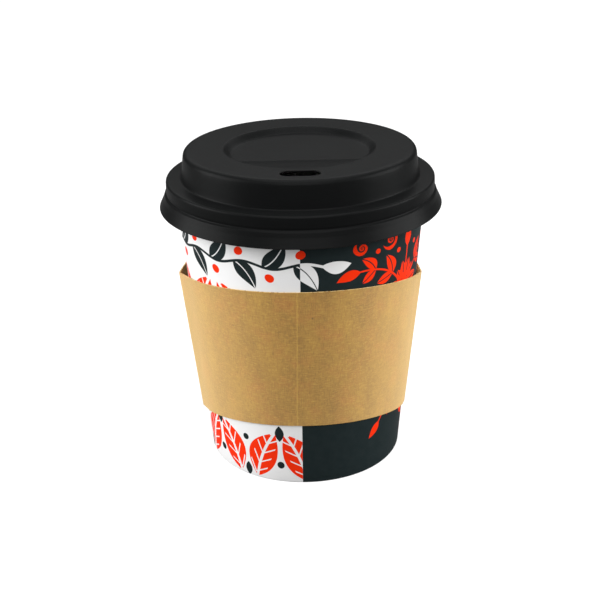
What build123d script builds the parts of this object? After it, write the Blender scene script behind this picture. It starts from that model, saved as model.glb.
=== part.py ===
from build123d import *
import os
from math import acos, atan, cos, degrees, pi, sin, tan

os.makedirs("parts", exist_ok=True)

# A take-away paper cup with its press-on sip lid and a folded card sleeve.
# Millimetres, +Z up, the origin in the middle of the foot, the drinking side towards -Y.

# Cup wall: one sheet of paper, rolled to a cone and lapped at the back
cup_height = 88.4
foot_radius = 30.07
wall_slope = 0.085
paper = 0.35
rim_roll = 2.2
rim_roll_sweep = 290
seam_angle = 86
seam_width = 8.0
seam_ramp = 4.0
seam_foot = 0.6
seam_top = 85.9
foot_press = 0.08

# Cup bottom: a disc whose turned-down skirt is held in the wall's hem
board = 0.30
hem_height = 6.5
bottom_height = 7.9
bottom_bend = 0.9
skirt_foot = 0.9

# Lid: one thin moulding
lid_sheet = 0.45
lid_top = 97.1
dome_radius = 34.4
dome_foot_radius = 35.4
ledge_height = 89.0
ledge_drop = 0.15
ledge_radius = 39.95
skirt_radius = 40.05
skirt_end = 85.6
groove_radius = 39.85
groove_height = 84.95
shoulder_radius = 40.5
shoulder_height = 84.45
flare_radius = 40.95
flare_height = 83.1
lid_edge_radius = 42.2
lid_edge_height = 80.45
dome_round = 1.6
lid_corner_round = 0.7
lid_hollow_round = 0.5
flare_round = 4.0

# Lid recess: a round pocket whose front part ramps up from a straight fold to the sip slot,
# steeply at first and then gently
recess_radius = 22.5
recess_floor_radius = 20.6
recess_depth = 1.75
recess_fold_y = -8.9
ramp_knee_run = 4.0
ramp_knee_rise = 0.8
recess_ramp_end_y = -22.5
recess_lip = 0.25
recess_round = 0.3
slot_y = -27.2
slot_length = 11.5
slot_width = 5.2

# Sleeve: one strip of card, creased flat at both sides and glued at the back
card = 0.45
sleeve_shift = 0.22
sleeve_low = 8.0
sleeve_high = 67.0
fold_low = 10.0
fold_high = 58.0
left_fold_low = 32.95
left_fold_high = 38.3
right_fold_low = 32.2
right_fold_high = 37.3
sleeve_top_front = 65.2
sleeve_top_left = 57.6
sleeve_top_right = 56.3
sleeve_foot_front = 20.9
sleeve_foot_left = 11.4
sleeve_foot_right = 11.6
lap_angle = 118
lap_width = 14.0
lap_ramp = 10.0
crease_round = 0.5
edge_steps = 6

lean = atan(wall_slope)


def wall_radius(height):
    """Radius of the cup's outside at a height."""
    return foot_radius + wall_slope * height


def wall_point(height, depth):
    """Point of the section at a height, so deep inside the cup's outside face."""
    return (wall_radius(height) - depth / cos(lean), height)


def shifted(point, out=0.0, up=0.0):
    """A point moved square to the wall and along it."""
    x = point[0] + out * cos(lean) + up * sin(lean)
    z = point[1] - out * sin(lean) + up * cos(lean)
    return (x, z)


# Cup wall, section along its printed face: hem, turn at the foot, wall, rolled rim
turn_radius = paper + board / 2
turn_middle = wall_point(turn_radius - foot_press, turn_radius)
roll_face = rim_roll / 2 - paper
roll_middle = wall_point(cup_height - rim_roll / 2, -roll_face)


def raised_end(height, radius, rise, angle, width, ramp, middle_y=0.0):
    """Outline of a sheet's end on top of the layer below: a step, a band and a ramp down."""
    band = degrees((width - ramp) / radius)
    whole = degrees(width / radius)
    with BuildSketch(Plane.XY.offset(height)) as end:
        with BuildLine():
            face = CenterArc((0, middle_y), radius + rise, angle, band)
            under = CenterArc((0, middle_y), radius - rise / 2, angle, whole)
            Line(face @ 0, under @ 0)
            Line(face @ 1, under @ 1)
        make_face()
    return end.sketch


def wall_face(depth):
    """Draws one face of the wall's sheet and returns its two ends."""
    turn = turn_radius - depth
    roll = roll_face + depth
    foot_inner = shifted(turn_middle, out=-turn)
    foot_outer = shifted(turn_middle, out=turn)
    hem = Line(wall_point(hem_height, 2 * turn_radius - depth), foot_inner)
    ThreePointArc(foot_inner, shifted(turn_middle, up=-turn), foot_outer)
    Line(foot_outer, shifted(roll_middle, out=-roll))
    rim = CenterArc(roll_middle, roll, 180 - degrees(lean), -rim_roll_sweep)
    return hem @ 0, rim @ 1


with BuildPart() as cup_wall:
    with BuildSketch(Plane.XZ):
        with BuildLine():
            printed_hem_end, printed_rim_end = wall_face(0)
            white_hem_end, white_rim_end = wall_face(paper)
            Line(printed_hem_end, white_hem_end)
            Line(printed_rim_end, white_rim_end)
        make_face()
    revolve(axis=Axis.Z)
    # The fold at the foot is pressed flat where it stands
    split(bisect_by=Plane.XY, keep=Keep.TOP)
    # The sheet's outer end lies on its inner end at the back
    seam_ends = [
        raised_end(height, wall_radius(height), paper, seam_angle, seam_width, seam_ramp)
        for height in (seam_foot, seam_top)
    ]
    loft(seam_ends, ruled=True)
cup_wall.part.label = "cup_wall"

# Cup bottom, section along its upper face: disc, bend, skirt between wall and hem
bend_corner = wall_point(bottom_height + board, paper)

with BuildPart() as cup_bottom:
    with BuildSketch(Plane.XZ):
        with BuildLine():
            FilletPolyline(
                (0, bottom_height + board),
                bend_corner,
                wall_point(skirt_foot, paper),
                radius=bottom_bend,
            )
            offset(amount=board, side=Side.RIGHT)
        make_face()
    revolve(axis=Axis.Z)
cup_bottom.part.label = "cup_bottom"

# Lid, section along its outside: top, dome wall, ledge, upper skirt, groove, flared skirt
recess_floor = lid_top - recess_depth
ramp_knee_y = recess_fold_y - ramp_knee_run
ramp_slope = (recess_depth - recess_lip - ramp_knee_rise) / (ramp_knee_y - recess_ramp_end_y)


def recess_form(grown):
    """The recess as a block, with its floor, ramp and wall moved out by so much."""
    floor = recess_floor - grown
    ramp_rise = ramp_knee_rise + ramp_slope * (ramp_knee_y + lid_edge_radius)
    with BuildPart() as form:
        with BuildSketch(Plane.XZ):
            with BuildLine():
                Polyline(
                    (0, floor),
                    (recess_floor_radius + grown, floor),
                    (recess_radius + grown, lid_top),
                    (0, lid_top),
                    close=True,
                )
            make_face()
        revolve(axis=Axis.Z)
        # Below the ramp there is nothing
        with BuildSketch(Plane.YZ):
            with BuildLine():
                Polyline(
                    (recess_fold_y, floor),
                    (ramp_knee_y, floor + ramp_knee_rise),
                    (-lid_edge_radius, floor + ramp_rise),
                    (-lid_edge_radius, floor - recess_depth),
                    (recess_fold_y, floor - recess_depth),
                    close=True,
                )
            make_face()
        extrude(amount=lid_edge_radius, both=True, mode=Mode.SUBTRACT)
    return form.part


recess_sheet = recess_form(lid_sheet)
recess_pocket = recess_form(0)

with BuildPart() as lid:
    with BuildSketch(Plane.XZ):
        with BuildLine():
            FilletPolyline(
                (0, lid_top),
                (dome_radius, lid_top),
                (dome_foot_radius, ledge_height),
                (ledge_radius, ledge_height - ledge_drop),
                (skirt_radius, skirt_end),
                (groove_radius, groove_height),
                (shoulder_radius, shoulder_height),
                (flare_radius, flare_height),
                (lid_edge_radius, lid_edge_height),
                radius=[
                    dome_round,
                    lid_hollow_round,
                    lid_corner_round,
                    lid_corner_round,
                    lid_hollow_round,
                    lid_corner_round,
                    flare_round,
                ],
            )
            offset(amount=lid_sheet, side=Side.RIGHT)
        make_face()
    revolve(axis=Axis.Z)
    # The recess: its sheet is added as a block, and the open pocket is cut from that
    add(recess_sheet)
    add(recess_pocket, mode=Mode.SUBTRACT)
    recess_rim = edges().filter_by(GeomType.CIRCLE).group_by(Axis.Z)[-1].sort_by(SortBy.RADIUS)[0]
    fillet(recess_rim, recess_round)
    # Sip slot through the front of the top
    with BuildSketch(Plane.XY.offset(lid_top)):
        with Locations((0, slot_y)):
            SlotOverall(slot_length, slot_width)
    extrude(amount=-2 * lid_sheet, mode=Mode.SUBTRACT)
lid.part.label = "lid"


def fold_reach(low, high, height):
    """Distance of a side fold from the cup's axis at a height."""
    return low + (high - low) * (height - fold_low) / (fold_high - fold_low)


def sleeve_folds(height):
    """Half the arc that each fold takes from the circle, left and right, as angles."""
    face = wall_radius(height) + sleeve_shift + card
    left = acos(face / fold_reach(left_fold_low, left_fold_high, height))
    right = acos(face / fold_reach(right_fold_low, right_fold_high, height))
    return left, right


def sleeve_section(height, grown):
    """Closed outline of the sleeve at a height: arcs on the cup, straight runs to two creases."""
    radius = wall_radius(height) + sleeve_shift + grown
    left, right = sleeve_folds(height)
    arc_size = 180 - degrees(left + right)
    left_fold = (-radius / cos(left), sleeve_shift)
    right_fold = (radius / cos(right), sleeve_shift)
    with BuildSketch(Plane.XY.offset(height)) as section:
        with BuildLine():
            front = CenterArc((0, sleeve_shift), radius, 180 + degrees(left), arc_size)
            back = CenterArc((0, sleeve_shift), radius, degrees(right), arc_size)
            FilletPolyline(front @ 1, right_fold, back @ 0, radius=crease_round + grown)
            FilletPolyline(back @ 1, left_fold, front @ 0, radius=crease_round + grown)
        make_face()
    return section.sketch


def sleeve_edge(front, left_end, right_end):
    """Points of a cut edge in front view, dropping from the middle to the two folds."""
    points = []
    for step in range(-edge_steps - 1, edge_steps + 2):
        side = 0 if step < 0 else 1
        end = (left_end, right_end)[side]
        fold = sleeve_folds(end)[side]
        arc = pi / 2 - fold
        share = abs(step) / edge_steps
        length = share * (arc + tan(fold))
        across = sin(length) if length < arc else sin(arc) + (length - arc) * cos(arc)
        across *= wall_radius(end) + sleeve_shift + card
        points.append((across * (-1, 1)[side], front - (front - end) * share**2))
    return points


def lap_end(height):
    """Outline of the strip's glued outer end at a height."""
    face = wall_radius(height) + sleeve_shift + card
    return raised_end(height, face, card, lap_angle, lap_width, lap_ramp, sleeve_shift)


with BuildPart() as sleeve:
    loft([sleeve_section(height, card) for height in (sleeve_low, sleeve_high)], ruled=True)
    # The outer end of the strip is glued over the inner end on the back panel
    loft([lap_end(height) for height in (sleeve_low, sleeve_high)], ruled=True)
    hollow = [sleeve_section(height, 0) for height in (sleeve_low, sleeve_high)]
    loft(hollow, ruled=True, mode=Mode.SUBTRACT)
    # Both cut edges arch up from fold to fold
    with BuildSketch(Plane.XZ):
        with BuildLine():
            top = Spline(sleeve_edge(sleeve_top_front, sleeve_top_left, sleeve_top_right))
            foot = Spline(sleeve_edge(sleeve_foot_front, sleeve_foot_left, sleeve_foot_right))
            Line(top @ 0, foot @ 0)
            Line(top @ 1, foot @ 1)
        make_face()
    extrude(amount=2 * cup_height, both=True, mode=Mode.INTERSECT)
    # The strip beds on the cup at the front
    with BuildSketch(Plane.XZ):
        with BuildLine():
            Polyline(
                (0, 0),
                (wall_radius(0), 0),
                (wall_radius(cup_height), cup_height),
                (0, cup_height),
                close=True,
            )
        make_face()
    revolve(axis=Axis.Z, mode=Mode.SUBTRACT)
sleeve.part.label = "sleeve"

for piece in (cup_wall, cup_bottom, lid, sleeve):
    export_step(piece.part, f"parts/{piece.part.label}.step")
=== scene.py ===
"""Dresses a take-away paper cup, its sip lid and its card sleeve, and sets the studio around them."""

import math

import bpy
import numpy as np
from bpy.props import FloatProperty, FloatVectorProperty, PointerProperty
from mathutils import Matrix, Vector


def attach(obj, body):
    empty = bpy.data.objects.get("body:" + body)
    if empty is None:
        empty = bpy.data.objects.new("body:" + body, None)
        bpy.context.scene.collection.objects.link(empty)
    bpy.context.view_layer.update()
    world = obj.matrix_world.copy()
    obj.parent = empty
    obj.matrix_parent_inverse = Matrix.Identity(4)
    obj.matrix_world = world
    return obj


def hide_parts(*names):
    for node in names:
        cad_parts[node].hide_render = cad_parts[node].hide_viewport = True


bl_info = {
    "name": "Take-away Cup",
    "version": (1, 0, 0),
    "blender": (4, 5, 0),
    "location": "View3D > Sidebar > Cup",
    "description": "Builds a printed paper cup with its lid and card sleeve around the packed model",
    "category": "Object",
}

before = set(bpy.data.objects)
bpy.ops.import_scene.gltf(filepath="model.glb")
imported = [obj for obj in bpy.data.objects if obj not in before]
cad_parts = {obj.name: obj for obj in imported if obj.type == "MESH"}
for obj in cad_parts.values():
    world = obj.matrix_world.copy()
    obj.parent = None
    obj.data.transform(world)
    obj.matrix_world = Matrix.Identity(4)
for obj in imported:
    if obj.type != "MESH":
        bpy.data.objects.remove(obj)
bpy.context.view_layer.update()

MM = 0.001
FULL_TURN = 2 * math.pi

LAMP_AIM = Vector((0, 0, 50 * MM))
LAMP_DISTANCE = 0.9
FLOOR_HALF = 4.0

# Where the photograph was taken from: a fitted camera, looking along +Y and down
CAMERA_DISTANCE = 334.95 * MM
CAMERA_HEIGHT = 191.43 * MM
CAMERA_PITCH = math.radians(23.2386)
CAMERA_YAW = math.radians(-0.1492)
CAMERA_ROLL = math.radians(-1.2752)
CAMERA_LENS = 70.063


# Sizes and colours that a user may change


def length(label, about, millimetres):
    """A size in the scene's units, given in millimetres."""
    return FloatProperty(name=label, description=about, default=millimetres * MM, unit="LENGTH", precision=5)


def turn(label, about, degrees):
    """An angle round the cup, from +X towards +Y."""
    return FloatProperty(name=label, description=about, default=math.radians(degrees), unit="ROTATION")


def colour(label, about, value):
    """A surface colour."""
    return FloatVectorProperty(name=label, description=about, default=value, subtype="COLOR", min=0, max=1)


class CupSizes(bpy.types.PropertyGroup):
    """The rolled and lapped paper wall, and the bottom held in its hem."""

    height: length("Height", "From the foot to the top of the rolled rim", 88.4)
    foot_radius: length("Foot radius", "Outside of the wall where it stands", 30.07)
    slope: FloatProperty(name="Slope", description="Rise of the radius over the height", default=0.085)
    paper: length("Paper", "Thickness of the wall", 0.35)
    rim_roll: length("Rim roll", "Thickness of the rolled rim", 2.2)
    rim_sweep: turn("Rim sweep", "How far the rim is rolled", 290)
    seam_turn: turn("Seam", "Where the outer end of the sheet lies", 86)
    seam_width: length("Seam width", "Overlap of the sheet's two ends", 8.0)
    seam_ramp: length("Seam ramp", "Stretch in which the overlap comes down", 4.0)
    board: length("Bottom board", "Thickness of the bottom", 0.30)
    hem_height: length("Hem height", "Height of the folded-in hem", 6.5)
    bottom_height: length("Bottom height", "Underside of the bottom above the table", 7.9)
    bottom_bend: length("Bottom bend", "Radius between the bottom and its skirt", 0.9)
    skirt_foot: length("Skirt foot", "Lower end of the bottom's skirt", 0.9)
    foot_press: length("Foot press", "How far the folded foot is pressed flat", 0.08)


class LidSizes(bpy.types.PropertyGroup):
    """The thin moulded lid."""

    sheet: length("Sheet", "Thickness of the moulded sheet", 0.45)
    top: length("Top", "Height of the flat top", 97.1)
    dome_radius: length("Dome radius", "Flat top's corner before rounding", 34.4)
    dome_foot_radius: length("Dome foot radius", "Foot of the raised wall", 35.4)
    ledge_height: length("Ledge height", "Ledge round the raised wall", 89.0)
    ledge_drop: length("Ledge drop", "Fall of the ledge to its edge", 0.15)
    ledge_radius: length("Ledge radius", "Outside of the ledge", 39.95)
    skirt_radius: length("Skirt radius", "Outside of the upper skirt", 40.05)
    skirt_end: length("Skirt end", "Lower end of the upper skirt", 85.6)
    groove_radius: length("Groove radius", "Bottom of the snap groove", 39.85)
    groove_height: length("Groove height", "Height of the snap groove", 84.95)
    shoulder_radius: length("Shoulder radius", "Shoulder below the groove", 40.5)
    shoulder_height: length("Shoulder height", "Height of that shoulder", 84.45)
    flare_radius: length("Flare radius", "Where the lower skirt starts to flare", 40.95)
    flare_height: length("Flare height", "Height where the flare starts", 83.1)
    edge_radius: length("Edge radius", "Outside of the lower edge", 42.2)
    edge_height: length("Edge height", "Height of the lower edge", 80.45)
    recess_radius: length("Recess radius", "Rim of the drinking recess", 22.5)
    recess_floor_radius: length("Recess floor radius", "Foot of the recess wall", 20.6)
    recess_depth: length("Recess depth", "Depth of the recess", 1.75)
    fold_y: length("Fold place", "Straight fold where the ramp starts", -8.9)
    knee_run: length("Knee run", "Length of the ramp's steep first part", 4.0)
    knee_rise: length("Knee rise", "Height of the ramp's steep first part", 0.8)
    ramp_end_y: length("Ramp end", "Front end of the ramp", -22.5)
    recess_lip: length("Recess lip", "Depth left at the ramp's end", 0.25)
    slot_y: length("Slot place", "Middle of the sip slot", -27.2)
    slot_length: length("Slot length", "Length of the sip slot", 11.5)
    slot_width: length("Slot width", "Width of the sip slot", 5.2)


class SleeveSizes(bpy.types.PropertyGroup):
    """The creased and glued card strip."""

    card: length("Card", "Thickness of the card", 0.45)
    shift: length("Shift", "How far the sleeve sits back from the cup's axis", 0.22)
    fold_low: length("Low gauge height", "Height of the two low fold distances", 10.0)
    fold_high: length("High gauge height", "Height of the two high fold distances", 58.0)
    left_low: length("Left fold, low", "Left fold from the axis at the low height", 32.95)
    left_high: length("Left fold, high", "Left fold from the axis at the high height", 38.3)
    right_low: length("Right fold, low", "Right fold from the axis at the low height", 32.2)
    right_high: length("Right fold, high", "Right fold from the axis at the high height", 37.3)
    top_front: length("Top, middle", "Upper edge at the middle of a panel", 65.2)
    top_left: length("Top, left", "Upper edge at the left fold", 57.6)
    top_right: length("Top, right", "Upper edge at the right fold", 56.3)
    foot_front: length("Foot, middle", "Lower edge at the middle of a panel", 20.9)
    foot_left: length("Foot, left", "Lower edge at the left fold", 11.4)
    foot_right: length("Foot, right", "Lower edge at the right fold", 11.6)
    crease_round: length("Crease round", "Softness of the two folds", 0.5)
    lap_start: FloatProperty(name="Lap start", description="Glued end's start, as a share", default=0.31)
    lap_width: length("Lap width", "Width of the glued end with its ramp", 14.0)
    lap_ramp: length("Lap ramp", "Stretch in which the glued end comes down", 10.0)


class CupColours(bpy.types.PropertyGroup):
    """Surface colours."""

    white: colour("Paper white", "Bare coated paper", (0.68, 0.68, 0.68))
    ink: colour("Dark ink", "Greenish black field", (0.0102, 0.0163, 0.0172))
    red: colour("Red ink", "Orange-red motifs", (0.74, 0.025, 0.002))
    kraft: colour("Kraft", "Middle tone of the sleeve", (0.222, 0.095, 0.003))
    kraft_pale: colour("Pale kraft", "Light fibres and cut edges", (0.50, 0.295, 0.040))
    kraft_dark: colour("Dark kraft", "Dark fibres and specks", (0.085, 0.030, 0.003))
    plastic: colour("Lid plastic", "Black moulded plastic", (0.0036, 0.0038, 0.0038))


# Meshes

# How far the rounded raw edge of each sheet stands out
PAPER_BULGE = 0.02 * MM
CARD_BULGE = 0.04 * MM
PLASTIC_BULGE = 0.1 * MM
SHARP_EDGE = math.radians(38)


def raised(points):
    """A list of vectors as rows of numbers."""
    return np.array([tuple(point) for point in points])


def rounded_line(corners, radii, arc_steps):
    """Points of straight runs joined by tangent arcs, in the section plane."""
    points = [Vector(corners[0])]
    for before, corner, after, radius in zip(corners, corners[1:], corners[2:], radii):
        corner = Vector(corner)
        into = (corner - Vector(before)).normalized()
        out = (Vector(after) - corner).normalized()
        bend = math.copysign(into.angle(out), into.cross(out))
        start = corner - into * radius * math.tan(abs(bend) / 2)
        centre = corner + (out - into).normalized() * radius / math.cos(bend / 2)
        for step in range(arc_steps + 1):
            points.append(centre + Matrix.Rotation(bend * step / arc_steps, 2) @ (start - centre))
    points.append(Vector(corners[-1]))
    return points


def arc(centre, radius, start, sweep, steps):
    """Points along an arc in the section plane."""
    turns = [start + sweep * step / steps for step in range(steps + 1)]
    return [Vector((centre[0] + radius * math.cos(a), centre[1] + radius * math.sin(a))) for a in turns]


def spaced(points, longest):
    """The same line with no run longer than that."""
    line = [points[0]]
    for point in points[1:]:
        start = line[-1]
        parts = max(1, math.ceil((point - start).length / longest))
        line.extend(start.lerp(point, part / parts) for part in range(1, parts + 1))
    return line


def turned(line, turns):
    """Rows of points: a section line turned to each angle."""
    radius, height = raised(line).T
    angle = np.asarray(turns)
    across = radius[:, None] * np.cos(angle)
    along = radius[:, None] * np.sin(angle)
    return np.stack([across, along, np.broadcast_to(height[:, None], across.shape)], axis=2)


def ring_faces(first, rows, columns):
    """Quads between rows of points that close on themselves, numbered from first."""
    faces = []
    for row in range(rows - 1):
        here = first + row * columns
        below = here + columns
        for column in range(columns):
            beside = (column + 1) % columns
            faces.append((here + column, below + column, below + beside, here + beside))
    return faces


def outward(points, faces):
    """Unit normal at each point, from the faces around it."""
    normals = np.zeros_like(points)
    for size in (3, 4):
        group = np.array([face for face in faces if len(face) == size])
        if not len(group):
            continue
        corners = points[group]
        square = np.cross(corners[:, 2] - corners[:, 0], corners[:, -1] - corners[:, 1])
        for corner in range(size):
            np.add.at(normals, group[:, corner], square)
    return normals / np.maximum(np.linalg.norm(normals, axis=1, keepdims=True), 1e-20)


def free_edges(faces):
    """Edges that only one face uses, in that face's direction."""
    used = {pair for face in faces for pair in zip(face, face[1:] + face[:1])}
    return [pair for pair in used if (pair[1], pair[0]) not in used]


def sheet_object(name, outer, faces, inner, bulge, edge_steps=4):
    """A thin sheet as a closed mesh: outer face, inner face and a rounded rim along each free edge."""
    count = len(outer)
    normals = outward(outer, faces)
    edges = sorted(free_edges(faces))
    away = {}
    for start, end in edges:
        run = outer[end] - outer[start]
        side = np.cross(run, normals[start])
        for point in (start, end):
            away[point] = away.get(point, 0) + side / max(np.linalg.norm(side), 1e-20)
    points = [*outer, *inner]
    chain = {}
    for point in sorted(away):
        side = away[point] / np.linalg.norm(away[point])
        middle = (outer[point] + inner[point]) / 2
        half = (outer[point] - inner[point]) / 2
        chain[point] = [point]
        for step in range(1, edge_steps):
            swing = math.pi * step / edge_steps
            chain[point].append(len(points))
            points.append(middle + half * math.cos(swing) + side * bulge * math.sin(swing))
        chain[point].append(count + point)
    back = [tuple(count + point for point in reversed(face)) for face in faces]
    rims = []
    for start, end in edges:
        for step in range(edge_steps):
            rims.append((chain[end][step], chain[start][step], chain[start][step + 1], chain[end][step + 1]))
    mesh = bpy.data.meshes.new(name)
    mesh.from_pydata([tuple(point) for point in points], [], [*faces, *back, *rims])
    kinds = [0] * len(faces) + [1] * len(back) + [2] * len(rims)
    mesh.polygons.foreach_set("material_index", kinds)
    mesh.polygons.foreach_set("use_smooth", [True] * len(kinds))
    mesh.set_sharp_from_angle(angle=SHARP_EDGE)
    mesh.validate()
    piece = bpy.data.objects.new(name, mesh)
    bpy.context.scene.collection.objects.link(piece)
    return piece


def dress(piece, body, nodes, materials):
    """Gives a piece its materials and its place in the frame."""
    for material in materials:
        piece.data.materials.append(material)
    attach(piece, body)
    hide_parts(*nodes)


def lap(distance, width, ramp):
    """Lift of a lapped end over the layer below, as a share, from its cut end on."""
    return np.where(distance < 0, 0, np.clip((width - distance) / ramp, 0, 1))


# Cup wall

# Where the seam's lift fades out at the foot and under the rim: the distance from there, and the stretch
SEAM_FOOT = (0.6 * MM, 0.8 * MM)
SEAM_TOP = (2.5 * MM, 1.2 * MM)
ROLL_STEPS = 30
FOOT_STEPS = 12
WALL_STEPS = 24
HEM_STEPS = 6


def wall_radius(cup, height):
    """Radius of the cup's outside at a height."""
    return cup.foot_radius + cup.slope * height


def wall_point(cup, height, depth):
    """Point of the section at a height, so deep inside the outside face."""
    return Vector((wall_radius(cup, height) - depth / math.cos(math.atan(cup.slope)), height))


def wall_line(cup, depth):
    """One face of the wall's sheet, from the rolled rim down to the top of the hem."""
    lean = math.atan(cup.slope)
    turn_radius = cup.paper + cup.board / 2
    turn_middle = wall_point(cup, turn_radius - cup.foot_press, turn_radius)
    roll_face = cup.rim_roll / 2 - cup.paper
    roll_middle = wall_point(cup, cup.height - cup.rim_roll / 2, -roll_face)
    roll_start = math.pi - lean - cup.rim_sweep
    roll = arc(roll_middle, roll_face + depth, roll_start, cup.rim_sweep, ROLL_STEPS)
    foot = arc(turn_middle, turn_radius - depth, -lean, -math.pi, FOOT_STEPS)
    wall = [roll[-1].lerp(foot[0], step / WALL_STEPS) for step in range(1, WALL_STEPS)]
    hem_end = wall_point(cup, cup.hem_height, 2 * turn_radius - depth)
    hem = [foot[-1].lerp(hem_end, step / HEM_STEPS) for step in range(1, HEM_STEPS + 1)]
    return [Vector((x, max(z, 0))) for x, z in roll + wall + foot + hem]


def seam_lift(cup, rows, turns, start):
    """Outward lift of the lapped seam at each point, as a share."""
    height = rows[:, :, 2]
    radius = np.hypot(rows[:, :, 0], rows[:, :, 1])
    distance = (turns - cup.seam_turn) * radius
    rise = np.clip((height - SEAM_FOOT[0]) / SEAM_FOOT[1], 0, 1)
    fall = np.clip((cup.height - SEAM_TOP[0] - height) / SEAM_TOP[1], 0, 1)
    on_wall = radius > wall_radius(cup, height) - 2.4 * cup.paper
    share = lap(distance, cup.seam_width, cup.seam_ramp)
    return np.where((distance > start) & on_wall, share, 0) * rise * fall


class CUP_OT_wall(bpy.types.Operator):
    """Builds the paper wall with its rolled rim, hem and lapped seam"""

    bl_idname = "cup.build_wall"
    bl_label = "Paper wall"

    COLUMN_DEGREES = 1.25
    # Extra columns at the steps and ramps of the seam, in radians past its cut end
    SEAM_COLUMNS = (-0.0004, 0.0004, 0.05, 0.1, 0.1125, 0.1133, 0.14, 0.17, 0.2, 0.23)

    def execute(self, context):
        cup = context.scene.cup_sizes
        even = np.radians(np.arange(0, 360, self.COLUMN_DEGREES))
        turns = np.unique(np.concatenate([even, cup.seam_turn + np.array(self.SEAM_COLUMNS)]))
        faces_out = []
        band = cup.seam_width - cup.seam_ramp
        for depth, start in ((0, 0), (cup.paper, band)):
            rows = turned(wall_line(cup, depth), turns)
            lift = seam_lift(cup, rows, turns, start) * cup.paper
            rows[:, :, 0] += lift * np.cos(turns)
            rows[:, :, 1] += lift * np.sin(turns)
            faces_out.append(rows.reshape(-1, 3))
        faces = ring_faces(0, len(rows), len(turns))
        piece = sheet_object("cup_paper_wall", faces_out[0], faces, faces_out[1], PAPER_BULGE)
        materials = [printed_paper(context), bare_paper(context), cut_paper(context)]
        dress(piece, "cup", ["cup_wall"], materials)
        return {"FINISHED"}


# Cup bottom


class CUP_OT_bottom(bpy.types.Operator):
    """Builds the board bottom with its turned-down skirt"""

    bl_idname = "cup.build_bottom"
    bl_label = "Board bottom"

    FIRST_RING = 0.3 * MM

    def execute(self, context):
        cup = context.scene.cup_sizes
        level = cup.bottom_height + cup.board
        skirt = [wall_point(cup, height, cup.paper) for height in (level, cup.skirt_foot)]
        line = spaced(rounded_line([(self.FIRST_RING, level), *skirt], [cup.bottom_bend], 8), 3 * MM)
        turns = np.radians(np.arange(0, 360, 3))
        columns = len(turns)
        rows = turned(line, turns)
        outer = np.vstack([rows.reshape(-1, 3), [(0, 0, level)]])
        middle = len(outer) - 1
        faces = ring_faces(0, len(rows), columns)
        faces += [(middle, column, (column + 1) % columns) for column in range(columns)]
        inner = outer - outward(outer, faces) * cup.board
        piece = sheet_object("cup_board_bottom", outer, faces, inner, PAPER_BULGE)
        materials = [bare_paper(context), board_back(context), cut_paper(context)]
        dress(piece, "cup", ["cup_bottom"], materials)
        return {"FINISHED"}


# Lid


def soft_larger(a, b, reach):
    """The larger of two heights, with the corner between them rounded."""
    share = np.maximum(reach - np.abs(a - b), 0) / reach
    return np.maximum(a, b) + share**2 * reach / 4


def soft_smaller(a, b, reach):
    """The smaller of two heights, with the corner between them rounded."""
    return -soft_larger(-a, -b, reach)


class LidTop:
    """The lid's flat top with the drinking recess, as a height over the plan."""

    FOLD_SOFT = 0.06 * MM
    KNEE_SOFT = 0.35 * MM
    FOOT_SOFT = 0.3 * MM
    RIM_SOFT = 0.2 * MM
    FOOT_OFFSETS = (-0.95, -0.7, -0.5, -0.35, -0.2, -0.08)
    WALL_SHARES = (0.05, 0.25, 0.5, 0.75, 0.95)
    RIM_OFFSETS = (0.05, 0.15, 0.28, 0.45, 0.9)

    def __init__(self, lid):
        self.lid = lid
        self.floor = lid.top - lid.recess_depth
        self.steepness = lid.recess_depth / (lid.recess_radius - lid.recess_floor_radius)

    def ramp(self, y):
        """Height of the ramp, steep at first and then gentle up to the recess rim."""
        lid = self.lid
        knee_y = lid.fold_y - lid.knee_run
        steep = (lid.fold_y - y) * lid.knee_rise / lid.knee_run
        slope = (lid.recess_depth - lid.recess_lip - lid.knee_rise) / (knee_y - lid.ramp_end_y)
        gentle = lid.knee_rise + (knee_y - y) * slope
        return self.floor + soft_smaller(steep, gentle, self.KNEE_SOFT)

    def height(self, x, y):
        """Height of the top over a place in the plan."""
        low = soft_larger(self.floor, self.ramp(y), self.FOLD_SOFT)
        wall = self.floor + self.steepness * (np.hypot(x, y) - self.lid.recess_floor_radius)
        return soft_smaller(soft_larger(low, wall, self.FOOT_SOFT), self.lid.top, self.RIM_SOFT)

    def foot(self, turns):
        """Radius where the recess wall meets the floor or the ramp."""
        radius = np.full_like(turns, self.lid.recess_floor_radius)
        for _ in range(12):
            low = np.maximum(self.floor, self.ramp(radius * np.sin(turns)))
            radius = self.lid.recess_floor_radius + (low - self.floor) / self.steepness
        return np.minimum(radius, self.lid.recess_radius - 0.1 * MM)

    def rings(self, turns):
        """Radii of the rings from inside the wall's foot to outside the recess rim."""
        foot = self.foot(turns)
        width = self.lid.recess_radius - foot
        rings = [foot + offset * MM for offset in self.FOOT_OFFSETS]
        rings += [foot + share * width for share in self.WALL_SHARES]
        rings += [self.lid.recess_radius + offset * MM + 0 * turns for offset in self.RIM_OFFSETS]
        return rings


def slot_outline(lid, steps):
    """The sip slot's halves, inner and outer, each from left to right in three equal shares."""
    end = lid.slot_width / 2
    straight = lid.slot_length / 2 - end
    halves = []
    for side in (1, -1):
        half = []
        for step in range(3 * steps + 1):
            part = step / steps
            swing = min(part, 1) * math.pi / 2 if part < 2 else (3 - part) * math.pi / 2
            middle = straight * (2 * min(max(part - 1, 0), 1) - 1)
            reach = end * math.cos(swing)
            x = middle - reach if part < 1.5 else middle + reach
            half.append((x, lid.slot_y + side * end * math.sin(swing), lid.top))
        halves.append(half)
    return halves


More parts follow.
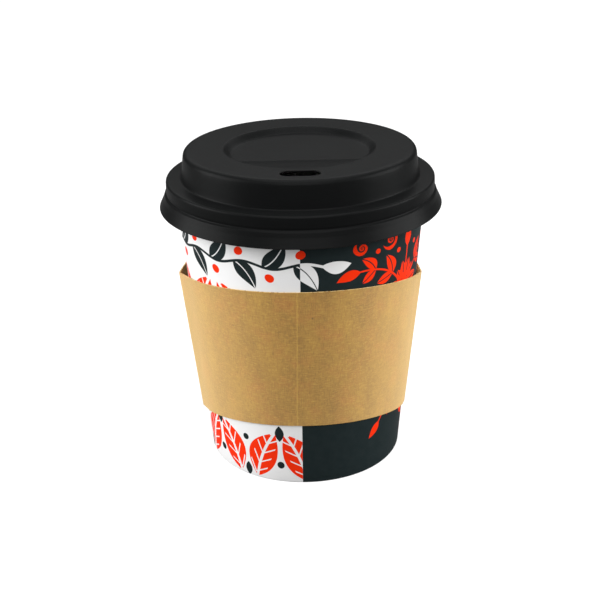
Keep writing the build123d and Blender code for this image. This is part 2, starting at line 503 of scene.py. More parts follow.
def lid_section(lid, start):
    """The lid's outside from a radius on the flat top down to its edge."""
    corners = [
        (start, lid.top),
        (lid.dome_radius, lid.top),
        (lid.dome_foot_radius, lid.ledge_height),
        (lid.ledge_radius, lid.ledge_height - lid.ledge_drop),
        (lid.skirt_radius, lid.skirt_end),
        (lid.groove_radius, lid.groove_height),
        (lid.shoulder_radius, lid.shoulder_height),
        (lid.flare_radius, lid.flare_height),
        (lid.edge_radius, lid.edge_height),
    ]
    rounds = [radius * MM for radius in (1.6, 0.5, 0.7, 0.7, 0.35, 0.5, 4.0)]
    return spaced(rounded_line(corners, rounds, 7), 1.5 * MM)


# Radii of the flat band that the slot is cut in
SLOT_BAND = (23.9 * MM, 31.2 * MM)
SLOT_STEPS = 12
FLOOR_COLUMNS = 20


def lid_turns():
    """Angles of the lid's columns: right half from front to back, closer where the fold meets the wall."""
    front = np.arange(-90, -31, 1.0)
    fold = np.arange(-31, -21, 0.35)
    back = np.arange(-20.5, 90, 1.25)
    right = np.radians(np.concatenate([front, fold, back, [90]]))
    return np.concatenate([right, math.pi - right[-2:0:-1]])


def lid_rows(lid, top, turns):
    """Rows of points from the foot of the recess wall to the lid's edge, and the flat band's first row."""
    plan = [np.stack([ring * np.cos(turns), ring * np.sin(turns)], axis=1) for ring in top.rings(turns)]
    rows = [np.column_stack([p, top.height(p[:, 0], p[:, 1])]) for p in plan]
    band = len(rows)
    rows.append(turned([Vector((SLOT_BAND[0], lid.top))], turns)[0])
    rows.extend(turned(lid_section(lid, SLOT_BAND[1]), turns))
    return rows, band


def cut_slot(lid, points, faces, start, columns):
    """Opens the front of the flat band that starts at a point, and fills it up to the slot's edge."""
    span = 3 * SLOT_STEPS // 2
    slot_columns = [column % columns for column in range(-span, span + 1)]
    opened = {start + column for column in slot_columns[:-1]}
    kept = [face for face in faces if face[0] not in opened]
    inner_half, outer_half = slot_outline(lid, SLOT_STEPS)
    upper = list(range(len(points), len(points) + len(inner_half)))
    points.extend(inner_half)
    lower = [upper[0], *range(len(points), len(points) + len(outer_half) - 2), upper[-1]]
    points.extend(outer_half[1:-1])
    near = [start + column for column in slot_columns]
    far = [start + columns + column for column in slot_columns]
    for a in range(2 * span):
        b = a + 1
        kept.append((upper[a], upper[b], near[b], near[a]))
        kept.append((far[a], far[b], lower[b], lower[a]))
    kept.append((near[0], far[0], upper[0]))
    kept.append((far[-1], near[-1], upper[-1]))
    return kept


def fill_floor(top, points, columns):
    """Adds the recess floor in straight rows, each from the right side to the left, and gives its faces."""
    front, back = 0, columns // 2
    floor_rows = [[front] * (FLOOR_COLUMNS + 1)]
    for row in range(1, back):
        right, left = points[row], points[columns - row]
        line = [row]
        for column in range(1, FLOOR_COLUMNS):
            x = right[0] + (left[0] - right[0]) * column / FLOOR_COLUMNS
            line.append(len(points))
            points.append((x, right[1], float(top.height(x, right[1]))))
        floor_rows.append([*line, columns - row])
    floor_rows.append([back] * (FLOOR_COLUMNS + 1))
    faces = []
    for below, above in zip(floor_rows, floor_rows[1:]):
        for column in range(FLOOR_COLUMNS):
            corners = (below[column + 1], below[column], above[column], above[column + 1])
            # At the front and the back a row is one point, and the face a triangle
            faces.append(tuple(dict.fromkeys(corners)))
    return faces


class CUP_OT_lid(bpy.types.Operator):
    """Builds the moulded lid with its recess, ramp, sip slot, groove and skirts"""

    bl_idname = "cup.build_lid"
    bl_label = "Sip lid"

    def execute(self, context):
        lid = context.scene.lid_sizes
        top = LidTop(lid)
        turns = lid_turns()
        columns = len(turns)
        rows, band = lid_rows(lid, top, turns)
        points = [tuple(point) for row in rows for point in row]
        faces = cut_slot(lid, points, ring_faces(0, len(rows), columns), band * columns, columns)
        faces += fill_floor(top, points, columns)
        outer = np.array(points)
        inner = outer - outward(outer, faces) * lid.sheet
        piece = sheet_object("sip_lid", outer, faces, inner, PLASTIC_BULGE)
        dress(piece, "lid", ["lid"], [moulded_plastic(context)] * 3)
        return {"FINISHED"}


# Sleeve


def sleeve_reach(sizes, side, height):
    """Distance of a side fold from the cup's axis at a height."""
    low, high = ((sizes.left_low, sizes.left_high), (sizes.right_low, sizes.right_high))[side]
    return low + (high - low) * (height - sizes.fold_low) / (sizes.fold_high - sizes.fold_low)


def sleeve_point(cup, sizes, side, back, share, height, grown):
    """Point of the sleeve: a share of the way from a panel's middle to a fold, at a height."""
    gap = wall_radius(cup, height) + sizes.shift
    fold = math.acos((gap + sizes.card) / sleeve_reach(sizes, side, height))
    curved = math.pi / 2 - fold
    run = share * (curved + math.tan(fold))
    past = max(run - curved, 0)
    bent = min(run, curved)
    x = (gap + grown) * (math.sin(bent) + past * math.cos(bent))
    y = (gap + grown) * (math.cos(bent) - past * math.sin(bent))
    if past > 0:
        x -= (math.hypot(y, sizes.crease_round) - y) * math.tan(fold)
    return (-x, x)[side], sizes.shift + (-y, y)[back], height


class CUP_OT_sleeve(bpy.types.Operator):
    """Builds the card sleeve with its arched edges, side folds and glued lap"""

    bl_idname = "cup.build_sleeve"
    bl_label = "Card sleeve"

    ROWS = 28
    # Half of a panel's width, from its middle to a fold, over the radius of the cup's wall
    PANEL_REACH = 1.58
    # Columns as shares of that half: even ones, close ones at the crease, and the width of a cut end
    EVEN_SHARES = np.round(np.arange(0, 0.95, 0.02), 4)
    CREASE_SHARES = (0.955, 0.965, 0.975, 0.982, 0.988, 0.994, 1)
    CUT_SHARE = 0.0005
    CLEARANCE = 0.02 * MM

    def execute(self, context):
        cup = context.scene.cup_sizes
        sizes = context.scene.sleeve_sizes
        band = (sizes.lap_width - sizes.lap_ramp) / (self.PANEL_REACH * wall_radius(cup, 0.4 * cup.height))
        lap_step = sizes.lap_start + band
        cuts = [sizes.lap_start - self.CUT_SHARE, sizes.lap_start, lap_step, lap_step + self.CUT_SHARE]
        shares = sorted({*self.EVEN_SHARES, *self.CREASE_SHARES})
        lapped = sorted({*shares, *cuts})
        # Once round from the right fold: back right, back left, front left, front right
        places = [(1, 1, share) for share in reversed(shares[1:])]
        places += [(0, 1, share) for share in lapped[:-1]]
        places += [(0, 0, share) for share in reversed(shares[1:])]
        places += [(1, 0, share) for share in shares[:-1]]
        ends = ((sizes.top_left, sizes.foot_left), (sizes.top_right, sizes.foot_right))
        faces_out = []
        # The outer and the inner face: how far off the cup each lies, and where the lap lifts it
        outer_face = (sizes.card, sizes.lap_start)
        inner_face = (self.CLEARANCE, lap_step + 0.4 * self.CUT_SHARE)
        for grown, starts in (outer_face, inner_face):
            points = []
            for row in range(self.ROWS + 1):
                for side, back, share in places:
                    high = sizes.top_front - (sizes.top_front - ends[side][0]) * share**2
                    low = sizes.foot_front - (sizes.foot_front - ends[side][1]) * share**2
                    height = high + (low - high) * row / self.ROWS
                    lift = 0
                    if not side and back and share >= starts:
                        run = (share - sizes.lap_start) * self.PANEL_REACH * wall_radius(cup, height)
                        lift = float(lap(run, sizes.lap_width, sizes.lap_ramp)) * sizes.card
                    points.append(sleeve_point(cup, sizes, side, back, share, height, grown + lift))
            faces_out.append(np.array(points))
        faces = ring_faces(0, self.ROWS + 1, len(places))
        piece = sheet_object("card_sleeve", faces_out[0], faces, faces_out[1], CARD_BULGE)
        card = kraft_card(context)
        dress(piece, "cup", ["sleeve"], [card, card, cut_card(context)])
        return {"FINISHED"}


# Shader maths

# Colours of the small marks that only break up a surface
PAPER_MOTTLE = (0.40, 0.41, 0.41)
PAPER_CLOUD = (0.66, 0.635, 0.585)
BOARD_FIBRE = (0.58, 0.55, 0.49)
RAW_PAPER = (0.52, 0.47, 0.38)
KRAFT_BLOTCH = (0.29, 0.100, 0.012)
KRAFT_SPECK = (0.04, 0.018, 0.006)
RAW_CARD = (0.72, 0.60, 0.42)
PLASTIC_CLOUD = (0.0072, 0.0078, 0.0080)
PLASTIC_DUST = (0.03, 0.03, 0.03)


def arithmetic(operation):
    """The plain and the reflected method of one of Python's operators."""
    return (
        lambda wire, other: wire.recipe.math(operation, wire, other),
        lambda wire, other: wire.recipe.math(operation, other, wire),
    )


class Wire:
    """One output of a material's nodes, for use in plain arithmetic."""

    def __init__(self, recipe, socket):
        self.recipe = recipe
        self.socket = socket

    def __abs__(self):
        return self.recipe.math("ABSOLUTE", self)

    __add__, __radd__ = arithmetic("ADD")
    __sub__, __rsub__ = arithmetic("SUBTRACT")
    __mul__, __rmul__ = arithmetic("MULTIPLY")
    __truediv__, __rtruediv__ = arithmetic("DIVIDE")


class Recipe:
    """A material or a world in the making."""

    def __init__(self, name, kind="materials"):
        self.block = getattr(bpy.data, kind).new(name)
        self.block.use_nodes = True
        self.tree = self.block.node_tree
        self.tree.nodes.clear()

    def node(self, kind, sockets=None, output=0, **settings):
        """Adds any node: its settings first, then the values or wires of its sockets."""
        made = self.tree.nodes.new(kind)
        for name, value in settings.items():
            setattr(made, name, value)
        for key, value in (sockets or {}).items():
            if isinstance(value, Wire):
                self.tree.links.new(value.socket, made.inputs[key])
            else:
                made.inputs[key].default_value = value
        return Wire(self, made.outputs[output]) if made.outputs else None

    def math(self, operation, *values):
        """Adds a Math node."""
        return self.node("ShaderNodeMath", dict(enumerate(values)), operation=operation)

    def mix(self, share, under, over):
        """Mixes two colours."""
        under, over = (shade if isinstance(shade, Wire) else (*shade, 1) for shade in (under, over))
        return self.node("ShaderNodeMix", {0: share, 6: under, 7: over}, output=2, data_type="RGBA")

    def stretch(self, vector, x, y, z):
        """A vector scaled along each axis."""
        return self.node("ShaderNodeVectorMath", {0: vector, 1: (x, y, z)}, operation="MULTIPLY")

    def noise(self, vector, scale, detail=2.0, roughness=0.5):
        """Soft noise around one half."""
        sockets = {"Vector": vector, "Scale": scale, "Detail": detail, "Roughness": roughness}
        return self.node("ShaderNodeTexNoise", sockets)

    def ink(self, distance, softness=0.07):
        """Full inside a shape and none outside it, from the distance to its edge."""
        sockets = {0: distance, 1: -1 / softness, 2: 0.5}
        return self.node("ShaderNodeMath", sockets, operation="MULTIPLY_ADD", use_clamp=True)

    def limit(self, value, most):
        """The value held between plus and minus the most."""
        return self.node("ShaderNodeClamp", {"Value": value, "Min": -most, "Max": most})

    def union(self, *distances):
        """Distance to the nearest of several shapes."""
        nearest = distances[0]
        for distance in distances[1:]:
            nearest = self.math("MINIMUM", nearest, distance)
        return nearest

    def both(self, a, b):
        """Distance to what two shapes share."""
        return self.math("MAXIMUM", a, b)

    def reach(self, x, y):
        """Length of the line to a place in the plane."""
        return self.math("SQRT", x * x + y * y)

    def shader(self, colour, roughness, height=None, rise=0.0, **constants):
        """Closes the material: a principled shader with its bump."""
        sockets = {"Base Color": colour, "Roughness": roughness, **constants}
        if height is not None:
            relief = {"Height": height, "Distance": rise, "Strength": 1.0}
            sockets["Normal"] = self.node("ShaderNodeBump", relief)
        surface = self.node("ShaderNodeBsdfPrincipled", sockets)
        self.node("ShaderNodeOutputMaterial", {"Surface": surface})
        return self.block


class Wrap:
    """Places on the cup's skin in millimetres: across round it, up along its axis."""

    PRINT_RADIUS = 34.0

    def __init__(self, recipe):
        self.recipe = recipe
        place = recipe.node("ShaderNodeTexCoord", output="Object")
        self.place = recipe.stretch(place, 1 / MM, 1 / MM, 1 / MM)
        axes = recipe.node("ShaderNodeSeparateXYZ", {0: self.place})
        self.x, self.y, self.up = (Wire(recipe, socket) for socket in axes.socket.node.outputs)
        self.turn = recipe.math("ARCTAN2", self.x, 0 - self.y)
        self.across = self.turn * self.PRINT_RADIUS

    def skin(self):
        """The unrolled place as a vector, for grain that follows the sheet."""
        return self.recipe.node("ShaderNodeCombineXYZ", {"X": self.across, "Y": self.up})


# Print: fields of colour under leaf motifs, in millimetres on the unrolled sheet

# Where the white field ends at the foot, and how far that line leans per millimetre
FIELD_BORDER = -1.25
FIELD_LEAN = 0.010
# Starting places of the motifs: across and up
GARLAND = (-3.4, 72.9)
LOW_LEAVES = (-8.6, 9.4)
HIGH_LEAVES = (-2.4, 57.6)
LEAF_PITCH = 12.4
BOUQUET = (34.0, 46.0)


class Motif:
    """Shapes round one point of the sheet, as distances to their edges."""

    def __init__(self, recipe, across, up, middle, tilt=0.0):
        self.recipe = recipe
        swing = math.radians(tilt)
        x = across - middle[0]
        y = up - middle[1]
        self.x = x * math.cos(swing) + y * math.sin(swing)
        self.y = y * math.cos(swing) - x * math.sin(swing)

    def leaf(self, size, width, bend=0.0, belly=0.0):
        """A pointed leaf, bowed by bend and by belly wider towards its foot."""
        along = self.recipe.limit(self.x * (2 / size), 1.3)
        half = (1 - along * along) * (1 - along * belly) * (width / 2)
        return abs(self.y - self.x * self.x * bend) - half

    def dot(self, radius):
        """A round dot."""
        return self.recipe.reach(self.x, self.y) - radius

    def rib(self, width, bend=0.0):
        """A line along the motif."""
        return abs(self.y - self.x * self.x * bend) - width / 2

    def veins(self, pitch, width):
        """Slanting side veins."""
        slant = self.x - abs(self.y) * 1.1
        return abs(self.recipe.math("PINGPONG", slant + 40 * pitch, pitch / 2)) - width / 2

    def tendril(self, size, tightness, width):
        """A spiral stroke that starts at the right of its eye and thins towards it."""
        radius = self.recipe.reach(self.x, self.y) + 1e-4
        angle = self.recipe.math("ARCTAN2", self.y, self.x)
        reached = self.recipe.math("LOGARITHM", size / radius, math.e) / tightness
        travelled = angle + self.recipe.math("ROUND", (reached - angle) / FULL_TURN) * FULL_TURN
        line = self.recipe.math("EXPONENT", travelled * -tightness) * size
        half = line * self.recipe.limit(travelled * 0.9, 1.0) * (width / size / 2)
        return self.recipe.both(abs(radius - line) - half, 0 - travelled)


def sprig(recipe, along, beside, pitch, size, reach):
    """Pairs of leaves on a stem of that reach, smaller towards the leaf at its tip."""
    smaller = 1 - recipe.limit(along * (0.35 / reach), 0.6)
    cell = recipe.math("WRAP", along, pitch, 0)
    leaf = Motif(recipe, (cell - 0.5 * pitch) / smaller, abs(beside) / smaller, (0, 0.36 * size), 42)
    leaves = recipe.both(leaf.leaf(size, 0.46 * size, -0.03, 0.25), 0 - leaf.rib(0.42, -0.03))
    pairs = math.floor(reach / pitch - 0.4)
    leaves = recipe.both(leaves, recipe.both(pitch - along, along - pairs * pitch))
    stem = recipe.both(abs(beside) - 0.36 * smaller, recipe.both(0 - along, along - reach))
    tip = Motif(recipe, along, beside, (reach, 0)).leaf(0.85 * size, 0.36 * size, 0, 0.3)
    return recipe.union(leaves, stem, tip)


def bowed_sprig(recipe, across, up, foot, side, radius, pitch, size, reach):
    """A sprig on a stem that rises from its foot and bows over to one side."""
    x = (across - foot[0]) * side + radius
    y = up - foot[1]
    along = recipe.math("ARCTAN2", y, x) * radius
    beside = radius - recipe.reach(x, y)
    return sprig(recipe, along, beside, pitch, size, reach)


def garland(recipe, along, beside, pitch, size, ends):
    """Leaves in turn above and below a waving stem with a leaf at both ends, and the berries between."""
    waved = beside - recipe.math("SINE", along * (math.pi / pitch)) * (0.10 * pitch)
    place = recipe.math("WRAP", along, pitch, -pitch)
    leaves = []
    berries = []
    for side in (1, -1):
        leaf = Motif(recipe, place, waved * side, ((0.08 - side / 2) * pitch, 0.32 * size), 52)
        blade = leaf.leaf(size, 0.50 * size, 0.03, 0.2)
        leaves.append(recipe.both(blade, 0 - leaf.rib(0.30, 0.03)))
        berry = Motif(recipe, place, waved * side, ((side / 2 - 0.14) * pitch, 0.29 * size))
        berries.append(berry.dot(1.3))
    middle = (ends[0] + ends[1]) / 2
    half = (ends[1] - ends[0]) / 2
    inside = abs(along - middle) - half
    tip = Motif(recipe, abs(along - middle), waved, (half + 0.3 * size, 0)).leaf(0.8 * size, 0.38 * size)
    stem = recipe.both(abs(waved) - 0.42, inside)
    twigs = recipe.union(recipe.both(recipe.union(*leaves), inside), stem, tip)
    return twigs, recipe.both(recipe.union(*berries), inside)


def bold_leaves(recipe, along, beside, pitch):
    """Large leaves with open ribs and veins that lean two ways in turn, and small ones between."""
    place = recipe.math("WRAP", along, pitch, -pitch)
    large = []
    for side in (1, -1):
        motif = Motif(recipe, place * side, beside, (0.5 * pitch, 0), 114)
        opened = recipe.union(motif.rib(0.95, 0.012), recipe.both(motif.veins(4.0, 0.62), motif.rib(6.6)))
        large.append(recipe.both(motif.leaf(18.5, 10.2, 0.012, 0.12), 0 - opened))
    edge = abs(place)
    small = recipe.union(
        Motif(recipe, edge, beside, (0, 7.9), 90).leaf(5.6, 3.0),
        Motif(recipe, edge, beside, (0, -3.4)).dot(1.25),
        Motif(recipe, edge, beside, (pitch, -7.0), 90).leaf(5.0, 2.7),
        Motif(recipe, edge, beside, (pitch, 4.6)).dot(1.1),
    )
    return recipe.union(*large), small


def bouquet(recipe, across, up):
    """Sprigs that fan up and down from one place, with tendrils and dots between them."""
    x, foot = BOUQUET
    upright = {"pitch": 7.0, "size": 8.6}
    hanging = {"pitch": 6.4, "size": 7.6}
    fans = [sprig(recipe, up - foot, across - x, reach=30.0, **upright)]
    for side in (1, -1):
        fans.append(bowed_sprig(recipe, across, up, (x, foot + 7), side, radius=16.5, reach=31.0, **upright))
        hung = (x - side, 10 - foot)
        fans.append(bowed_sprig(recipe, across, 0 - up, hung, side, radius=34.0, reach=24.0, **hanging))
    for place, tilt, size in (((-8, 31), 200, 3.1), ((8, 31), -20, 3.1), ((-17.8, 30.6), 120, 2.5)):
        eye = (x + place[0], foot + place[1])
        fans.append(Motif(recipe, across, up, eye, tilt).tendril(size, tightness=0.17, width=1.5))
    for place in ((-12.6, 28.6), (-4.4, 26.6), (4.4, 26.6), (13, 30.6), (0, 35.4)):
        fans.append(Motif(recipe, across, up, (x + place[0], foot + place[1])).dot(0.8))
    return recipe.union(*fans)


def print_layers(recipe, across, up, colours):
    """The printed design, from its ground up: the share and the colour of each layer."""
    white, ink, red = colours.white, colours.ink, colours.red
    border = across - FIELD_BORDER - up * FIELD_LEAN
    dark = recipe.ink(0 - border)
    on_white = recipe.ink(border)
    along = across - GARLAND[0]
    twigs, berries = garland(recipe, along, up - GARLAND[1], pitch=8.4, size=10.2, ends=(-42.2, 9.4))
    low, small = bold_leaves(recipe, across - LOW_LEAVES[0], up - LOW_LEAVES[1], LEAF_PITCH)
    high, _ = bold_leaves(recipe, across - HIGH_LEAVES[0], up - HIGH_LEAVES[1], LEAF_PITCH)
    return [
        (dark, ink),
        (recipe.ink(twigs), recipe.mix(dark, ink, white)),
        (recipe.ink(berries), red),
        (recipe.ink(small) * on_white, ink),
        (recipe.ink(recipe.union(low, high)) * on_white, red),
        (recipe.ink(bouquet(recipe, across, up)) * dark, red),
    ]


def printed_paper(context):
    """The wall's outside: white and dark quarters under leaf motifs."""
    colours = context.scene.cup_colours
    recipe = Recipe("printed_paper")
    wrap = Wrap(recipe)
    # The design is printed twice round; each repeat has a white and a dark quarter
    half_turn = math.pi * Wrap.PRINT_RADIUS
    across = recipe.math("WRAP", wrap.across, half_turn / 2, -half_turn / 2)
    field = colours.white
    for share, shade in print_layers(recipe, across, wrap.up, colours):
        field = recipe.mix(share, field, shade)
    skin = wrap.skin()
    mottle = recipe.noise(skin, 0.35, 3.0, 0.6)
    fibre = recipe.noise(wrap.place, 4.5, 3.0, 0.6)
    field = recipe.mix((mottle - 0.5) * 0.02 + 0.003, field, PAPER_MOTTLE)
    height = fibre * 0.7 + recipe.noise(skin, 1.1, 2.0) * 0.5
    roughness = 0.42 + (mottle - 0.5) * 0.12
    return recipe.shader(field, roughness, height, 0.016 * MM, **{"Specular IOR Level": 0.04})


def bare_paper(context):
    """The unprinted coated side of the paper."""
    recipe = Recipe("coated_paper")
    wrap = Wrap(recipe)
    fibre = recipe.noise(wrap.place, 2.4, 4.0, 0.65)
    cloud = recipe.noise(wrap.place, 0.16, 2.0)
    shade = recipe.mix(fibre * 0.22 + cloud * 0.12, context.scene.cup_colours.white, PAPER_CLOUD)
    return recipe.shader(shade, 0.36 + fibre * 0.10, fibre, 0.02 * MM)


def board_back(context):
    """The underside of the bottom, uncoated board."""
    recipe = Recipe("board_back")
    fibre = recipe.noise(Wrap(recipe).place, 3.0, 4.0, 0.7)
    shade = recipe.mix(fibre * 0.4, context.scene.cup_colours.white, BOARD_FIBRE)
    return recipe.shader(shade, 0.62 + fibre * 0.12, fibre, 0.03 * MM)


def cut_paper(context):
    """The raw cut edge of white paper."""
    recipe = Recipe("cut_paper_edge")
    fibre = recipe.noise(Wrap(recipe).place, 5.0, 2.0)
    shade = recipe.mix(fibre * 0.6, context.scene.cup_colours.white, RAW_PAPER)
    return recipe.shader(shade, 0.85, fibre, 0.04 * MM)


def kraft_shade(context, recipe, wrap):
    """Kraft colour with clouds, fibres both ways and sparse specks, and its relief."""
    colours = context.scene.cup_colours
    kraft, pale, dark = colours.kraft, colours.kraft_pale, colours.kraft_dark
    skin = wrap.skin()
    cloud = recipe.noise(recipe.stretch(skin, 1, 0.45, 1), 0.13, 4.0, 0.62)
    grain = recipe.noise(recipe.stretch(skin, 0.5, 2.6, 1), 1.0, 4.0, 0.65)
    threads = recipe.noise(recipe.stretch(skin, 3.4, 0.45, 1), 1.0, 3.0, 0.6)
    fine = recipe.noise(wrap.place, 3.2, 3.0, 0.7)
    blotch = recipe.noise(skin, 0.11, 3.0, 0.6)
    felt = recipe.noise(skin, 0.9, 3.0, 0.6)
    darker, paler = recipe.mix(0.46, kraft, dark), recipe.mix(0.30, kraft, pale)
    shade = recipe.mix(recipe.ink(0.5 - cloud, 0.4), darker, paler)
    shade = recipe.mix((blotch - 0.48) * 4.0, shade, KRAFT_BLOTCH)
    shade = recipe.mix((felt - 0.48) * 1.0, shade, pale)
    shade = recipe.mix((grain - 0.48) * 2.0, shade, pale)
    shade = recipe.mix((threads - 0.48) * 2.2, shade, dark)
    shade = recipe.mix((fine - 0.48) * 1.5, shade, dark)
    # Specks: a few cells of a scattered pattern, each with a small dot
    scattered = {"Vector": recipe.stretch(skin, 1, 0.8, 1), "Scale": 0.34}
    cells = recipe.node("ShaderNodeTexVoronoi", scattered)
    picked = recipe.node("ShaderNodeSeparateColor", {0: Wire(recipe, cells.socket.node.outputs["Color"])})
    speck = recipe.both(cells - 0.08, 0.82 - picked)
    shade = recipe.mix(recipe.ink(speck, 0.05) * 0.8, shade, KRAFT_SPECK)
    relief = grain * 0.5 + threads * 0.5 + fine * 0.6
    return shade, relief


CREASE_FOOT = (-2.5, 21)
CREASE_LEAN = 0.0243


def kraft_card(context):
    """Brown kraft card with its centre crease and painted shade beside it, and side folds lighter at their
    tips from rubbed card and painted highlight.
    """
    recipe = Recipe("kraft_card")
    wrap = Wrap(recipe)
    shade, relief = kraft_shade(context, recipe, wrap)
    # Pressed crease down the front panel, a little off its middle and leaning
    crease_line = wrap.across - CREASE_FOOT[0] - (wrap.up - CREASE_FOOT[1]) * CREASE_LEAN
    wander = recipe.noise(wrap.skin(), 0.5, 2.0) - 0.5
    front = recipe.ink(wrap.y)
    crease = recipe.ink(abs(crease_line + wander * 0.4) - 0.12, 0.35) * front
    # Painted shade: a soft band just beside the crease, darkened towards dark kraft
    crease_shade = recipe.ink(abs(crease_line - 1.3) - 0.5, 2.2) * front
    colours = context.scene.cup_colours
    pale = colours.kraft_pale
    # The painted shade beside the crease
    shade = recipe.mix(crease_shade * 0.14, shade, colours.kraft_dark)
    shade = recipe.mix(crease * 0.45, shade, pale)
    # The folds are lighter along their tips: partly rubbed card, partly a painted highlight
    fold = recipe.ink(abs(wrap.y - context.scene.sleeve_sizes.shift / MM) - 0.35, 0.9)
    shade = recipe.mix(fold * (0.25 + relief * 0.3), shade, pale)
    relief = relief - crease * 0.8
    sheen = {"Sheen Weight": 1.0, "Sheen Roughness": 0.65, "Sheen Tint": (1.0, 0.73, 0.37, 1.0)}
    return recipe.shader(shade, 0.60, relief, 0.05 * MM, **{"Specular IOR Level": 0.06}, **sheen)


def cut_card(context):
    """The pale cut edge of the card, with its layers."""
    recipe = Recipe("cut_card_edge")
    wrap = Wrap(recipe)
    layers = recipe.noise(recipe.stretch(wrap.place, 1.2, 1.2, 6.0), 1.0, 3.0)
    nicks = recipe.noise(wrap.skin(), 1.3, 2.0)
    colours = context.scene.cup_colours
    shade = recipe.mix(layers * 0.7, colours.kraft_pale, RAW_CARD)
    shade = recipe.mix(recipe.ink(nicks - 0.42, 0.1) * 0.75, shade, colours.kraft)
    return recipe.shader(shade, 0.9, layers, 0.05 * MM)


def moulded_plastic(context):
    """Black plastic with a fine matt skin, faint flow clouds and a little dust."""
    recipe = Recipe("moulded_plastic")
    wrap = Wrap(recipe)
    cloud = recipe.noise(wrap.place, 0.09, 3.0, 0.55)
    skin = recipe.noise(wrap.place, 2.8, 3.0, 0.6)
    dust = recipe.noise(wrap.place, 1.6, 5.0, 0.8)
    shade = recipe.mix(cloud * 0.35, context.scene.cup_colours.plastic, PLASTIC_CLOUD)
    shade = recipe.mix(recipe.ink(0.72 - dust, 0.08) * 0.3, shade, PLASTIC_DUST)
    roughness = 0.36 + (cloud - 0.5) * 0.06 + (skin - 0.5) * 0.08
    return recipe.shader(shade, roughness, skin, 0.012 * MM, **{"Specular IOR Level": 0.030})


# Studio

FLOOR_GREYS = ((0.17, 0.17, 0.17), (0.20, 0.20, 0.20))
FLOOR_WHITE = (0.86, 0.86, 0.86)


def lamp(name, bearing, elevation, size, power):
    """A rectangular soft light, aimed at the cup from a bearing round the front and an elevation."""
    data = bpy.data.lights.new(name, "AREA")
    data.shape = "RECTANGLE"
    data.size, data.size_y = size
    data.energy = power
    light = bpy.data.objects.new(name, data)
    bearing, elevation = math.radians(bearing), math.radians(elevation)
    level = Vector((math.sin(bearing), -math.cos(bearing), 0)) * math.cos(elevation)
    away = level + Vector((0, 0, math.sin(elevation)))
    light.location = LAMP_AIM + away * LAMP_DISTANCE
    light.rotation_mode = "QUATERNION"
    light.rotation_quaternion = away.to_track_quat("Z", "Y")
    bpy.context.scene.collection.objects.link(light)


def floor_material():
    """A pale floor that the camera sees as white, with the object's soft shadow on it."""
    recipe = Recipe("studio_floor")
    wrap = Wrap(recipe)
    cloud = recipe.noise(wrap.place, 0.004, 3.0)
    seen = recipe.node("ShaderNodeLightPath", output="Is Camera Ray")
    # The floor throws back little light, so that the undersides stay in shade
    grey = recipe.mix(cloud, FLOOR_GREYS[0], FLOOR_GREYS[1])
    shade = recipe.mix(seen, grey, FLOOR_WHITE)
    painted = recipe.node("ShaderNodeBsdfDiffuse", {"Color": shade})
    shining = recipe.node("ShaderNodeEmission", {"Color": (1, 1, 1, 1), "Strength": 1.05})
    # Away from the object, 150 to 750 mm out, the floor goes over into a lit backdrop
    share = 0.62 + recipe.ink(450 - recipe.reach(wrap.x, wrap.y), 600) * 0.38
    surface = recipe.node("ShaderNodeMixShader", {0: seen * share, 1: painted, 2: shining})
    recipe.node("ShaderNodeOutputMaterial", {"Surface": surface})
    return recipe.block


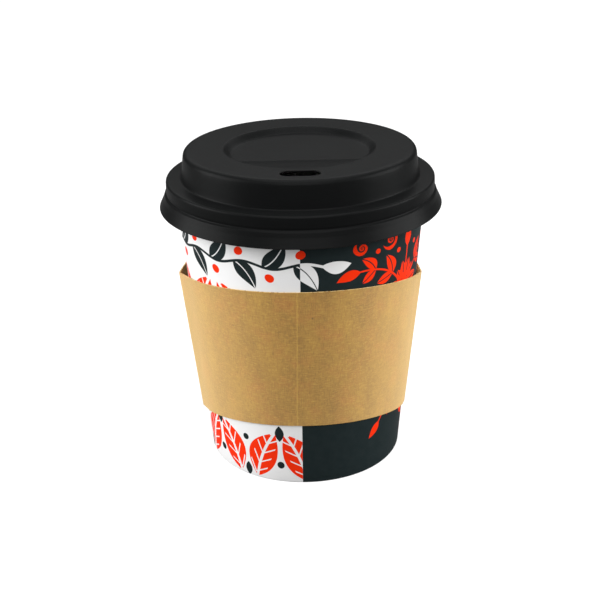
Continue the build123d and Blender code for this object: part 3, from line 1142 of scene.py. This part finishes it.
class CUP_OT_stage(bpy.types.Operator):
    """Sets the floor, the soft lights and the photograph's camera"""

    bl_idname = "cup.build_stage"
    bl_label = "Studio"

    def execute(self, context):
        scene = context.scene
        mesh = bpy.data.meshes.new("floor")
        corners = [(-1, -1), (1, -1), (1, 1), (-1, 1)]
        mesh.from_pydata([(FLOOR_HALF * x, FLOOR_HALF * y, 0) for x, y in corners], [], [(0, 1, 2, 3)])
        mesh.materials.append(floor_material())
        floor = bpy.data.objects.new("floor", mesh)
        scene.collection.objects.link(floor)
        for name, bearing in (("left_softbox", -86), ("right_softbox", 86)):
            lamp(name, bearing, elevation=20, size=(0.7, 0.7), power=12.6)
        lamp("front_softbox", bearing=0, elevation=40, size=(0.8, 0.6), power=6.2)
        lamp("top_softbox", bearing=0, elevation=89, size=(0.8, 0.8), power=8)
        lamp("back_softbox", bearing=180, elevation=42, size=(1.3, 0.6), power=3.5)
        self.backdrop(scene)
        self.camera(scene)
        scene.view_settings.view_transform = "Standard"
        return {"FINISHED"}

    def backdrop(self, scene):
        """A white surround for the camera and a dim one for the object."""
        recipe = Recipe("studio", "worlds")
        seen = recipe.node("ShaderNodeLightPath", output="Is Camera Ray")
        dim = recipe.node("ShaderNodeBackground", {"Color": (0.05, 0.05, 0.05, 1)})
        bright = recipe.node("ShaderNodeBackground", {"Color": (1, 1, 1, 1)})
        mixed = recipe.node("ShaderNodeMixShader", {0: seen, 1: dim, 2: bright})
        recipe.node("ShaderNodeOutputWorld", {"Surface": mixed})
        scene.world = recipe.block

    def camera(self, scene):
        """The photograph's camera."""
        data = bpy.data.cameras.new("camera")
        data.sensor_width = 36
        data.lens = CAMERA_LENS
        data.clip_start = 0.01
        data.clip_end = 50
        camera = bpy.data.objects.new("camera", data)
        scene.collection.objects.link(camera)
        level_ahead = Vector((math.sin(CAMERA_YAW), math.cos(CAMERA_YAW), 0))
        ahead = level_ahead * math.cos(CAMERA_PITCH) - Vector((0, 0, math.sin(CAMERA_PITCH)))
        level = Vector((math.cos(CAMERA_YAW), -math.sin(CAMERA_YAW), 0))
        upright = level.cross(ahead)
        right = level * math.cos(CAMERA_ROLL) + upright * math.sin(CAMERA_ROLL)
        up = upright * math.cos(CAMERA_ROLL) - level * math.sin(CAMERA_ROLL)
        place = Matrix.Translation((0, -CAMERA_DISTANCE, CAMERA_HEIGHT))
        camera.matrix_world = place @ Matrix((right, up, -ahead)).transposed().to_4x4()
        scene.camera = camera


class CUP_PT_panel(bpy.types.Panel):
    """Lists the cup's sizes, colours and build steps"""

    bl_idname = "CUP_PT_panel"
    bl_label = "Take-away cup"
    bl_space_type = "VIEW_3D"
    bl_region_type = "UI"
    bl_category = "Cup"

    def draw(self, context):
        for name in PROPERTY_GROUPS:
            box = self.layout.box()
            group = getattr(context.scene, name)
            for key in group.bl_rna.properties.keys():
                if key not in ("name", "rna_type"):
                    box.prop(group, key)
        for operator in OPERATORS:
            self.layout.operator(operator.bl_idname)


PROPERTY_GROUPS = {
    "cup_sizes": CupSizes,
    "lid_sizes": LidSizes,
    "sleeve_sizes": SleeveSizes,
    "cup_colours": CupColours,
}
OPERATORS = (CUP_OT_stage, CUP_OT_lid, CUP_OT_wall, CUP_OT_bottom, CUP_OT_sleeve)


def register():
    """Makes the sizes, the operators and the panel known."""
    for group in PROPERTY_GROUPS.values():
        bpy.utils.register_class(group)
    for name, group in PROPERTY_GROUPS.items():
        setattr(bpy.types.Scene, name, PointerProperty(type=group))
    for operator in OPERATORS:
        bpy.utils.register_class(operator)
    bpy.utils.register_class(CUP_PT_panel)


def unregister():
    """Takes them away again."""
    bpy.utils.unregister_class(CUP_PT_panel)
    for operator in reversed(OPERATORS):
        bpy.utils.unregister_class(operator)
    for name in PROPERTY_GROUPS:
        delattr(bpy.types.Scene, name)
    for group in reversed(PROPERTY_GROUPS.values()):
        bpy.utils.unregister_class(group)


def main():
    """Builds everything."""
    register()
    bpy.ops.cup.build_stage()
    bpy.ops.cup.build_lid()
    bpy.ops.cup.build_wall()
    bpy.ops.cup.build_bottom()
    bpy.ops.cup.build_sleeve()


if __name__ == "__main__":
    main()
